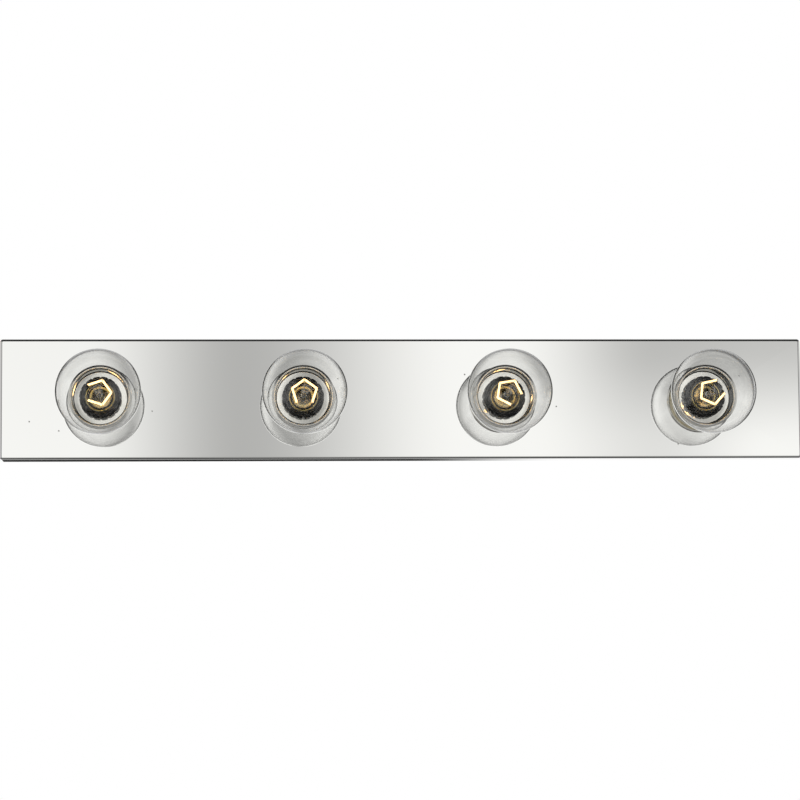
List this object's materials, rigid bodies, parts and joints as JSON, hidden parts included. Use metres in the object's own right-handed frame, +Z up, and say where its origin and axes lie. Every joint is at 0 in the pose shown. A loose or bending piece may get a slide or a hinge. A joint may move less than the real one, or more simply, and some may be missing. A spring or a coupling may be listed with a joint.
{
  "type": "vanity light bar",
  "caption": "Wall-mounted vanity light bar: a shallow mirror-chrome box with clear globe lamps that screw into chrome-cupped sockets along its face.",
  "frame": {"origin": "centre of the wiring pan's back face, on the wall plane", "axes": "+Z up, +X along the bar to the right seen from the front, front towards -Y, wall at Y = 0"},
  "size_m": [0.762, 0.1359, 0.1142],
  "materials": {
    "polished_chrome": "mirror-polished chrome plate on steel",
    "cup_chrome": "polished chrome plate on spun steel",
    "zinc_steel": "zinc-plated sheet steel",
    "nylon": "moulded natural nylon",
    "spring_bronze": "rolled spring bronze",
    "socket_aluminium": "rolled sheet aluminium",
    "black_phenolic": "moulded black phenolic",
    "white_insulation": "extruded wire insulation",
    "black_insulation": "extruded wire insulation",
    "orange_plastic": "moulded plastic",
    "green_screw": "green-dyed steel screw",
    "clear_glass": "clear blown glass",
    "stem_glass": "clear pressed glass",
    "brass": "rolled sheet brass",
    "black_glass": "opaque black glass",
    "solder": "cast solder",
    "support_wire": "drawn molybdenum and nickel wire",
    "tungsten": "coiled tungsten, lit warm white"
  },
  "bodies": {
    "root": {"front_cover": "polished_chrome", "wiring_pan": "zinc_steel", "entry_bushing": "nylon", "socket_straps": "zinc_steel", "socket_screws": "zinc_steel", "center_contacts": "spring_bronze", "white_wires": "white_insulation", "black_wires": "black_insulation", "wire_nuts": "orange_plastic", "ground_nut": "zinc_steel", "ground_screw": "green_screw", "socket_1_body": "black_phenolic", "socket_1_shell": "socket_aluminium", "socket_1_ring": "black_phenolic", "socket_1_cup": "cup_chrome", "socket_2_body": "black_phenolic", "socket_2_shell": "socket_aluminium", "socket_2_ring": "black_phenolic", "socket_2_cup": "cup_chrome", "socket_3_body": "black_phenolic", "socket_3_shell": "socket_aluminium", "socket_3_ring": "black_phenolic", "socket_3_cup": "cup_chrome", "socket_4_body": "black_phenolic", "socket_4_shell": "socket_aluminium", "socket_4_ring": "black_phenolic", "socket_4_cup": "cup_chrome"},
    "bulb_1_tip": {"bulb_1_tip_contact": "solder", "bulb_1_insulator": "black_glass"},
    "bulb_1": {"bulb_1_base_shell": "brass", "bulb_1_globe": "clear_glass", "bulb_1_stem": "stem_glass", "bulb_1_wires": "support_wire", "bulb_1_filament": "tungsten"},
    "bulb_2_tip": {"bulb_2_tip_contact": "solder", "bulb_2_insulator": "black_glass"},
    "bulb_2": {"bulb_2_base_shell": "brass", "bulb_2_globe": "clear_glass", "bulb_2_stem": "stem_glass", "bulb_2_wires": "support_wire", "bulb_2_filament": "tungsten"},
    "bulb_3_tip": {"bulb_3_tip_contact": "solder", "bulb_3_insulator": "black_glass"},
    "bulb_3": {"bulb_3_base_shell": "brass", "bulb_3_globe": "clear_glass", "bulb_3_stem": "stem_glass", "bulb_3_wires": "support_wire", "bulb_3_filament": "tungsten"},
    "bulb_4_tip": {"bulb_4_tip_contact": "solder", "bulb_4_insulator": "black_glass"},
    "bulb_4": {"bulb_4_base_shell": "brass", "bulb_4_globe": "clear_glass", "bulb_4_stem": "stem_glass", "bulb_4_wires": "support_wire", "bulb_4_filament": "tungsten"}
  },
  "joints": [
    {"name": "bulb_1_travel", "type": "slide", "parent": "root", "child": "bulb_1_tip", "axis": [0, -1, 0], "range_m": [0, 0.01271]},
    {"name": "bulb_1_turn", "type": "hinge", "parent": "bulb_1_tip", "child": "bulb_1", "pos_m": [-0.28575, -0.0489, 0], "axis": [0, -1, 0], "range_deg": [0, 1260]},
    {"name": "bulb_2_travel", "type": "slide", "parent": "root", "child": "bulb_2_tip", "axis": [0, -1, 0], "range_m": [0, 0.01271]},
    {"name": "bulb_2_turn", "type": "hinge", "parent": "bulb_2_tip", "child": "bulb_2", "pos_m": [-0.09525, -0.0489, 0], "axis": [0, -1, 0], "range_deg": [0, 1260]},
    {"name": "bulb_3_travel", "type": "slide", "parent": "root", "child": "bulb_3_tip", "axis": [0, -1, 0], "range_m": [0, 0.01271]},
    {"name": "bulb_3_turn", "type": "hinge", "parent": "bulb_3_tip", "child": "bulb_3", "pos_m": [0.09525, -0.0489, 0], "axis": [0, -1, 0], "range_deg": [0, 1260]},
    {"name": "bulb_4_travel", "type": "slide", "parent": "root", "child": "bulb_4_tip", "axis": [0, -1, 0], "range_m": [0, 0.01271]},
    {"name": "bulb_4_turn", "type": "hinge", "parent": "bulb_4_tip", "child": "bulb_4", "pos_m": [0.28575, -0.0489, 0], "axis": [0, -1, 0], "range_deg": [0, 1260]}
  ],
  "couplings": [
    {"joint": "bulb_1_travel", "follows": "bulb_1_turn", "m_per_rad": 0.00057751},
    {"joint": "bulb_2_travel", "follows": "bulb_2_turn", "m_per_rad": 0.00057751},
    {"joint": "bulb_3_travel", "follows": "bulb_3_turn", "m_per_rad": 0.00057751},
    {"joint": "bulb_4_travel", "follows": "bulb_4_turn", "m_per_rad": 0.00057751}
  ]
}
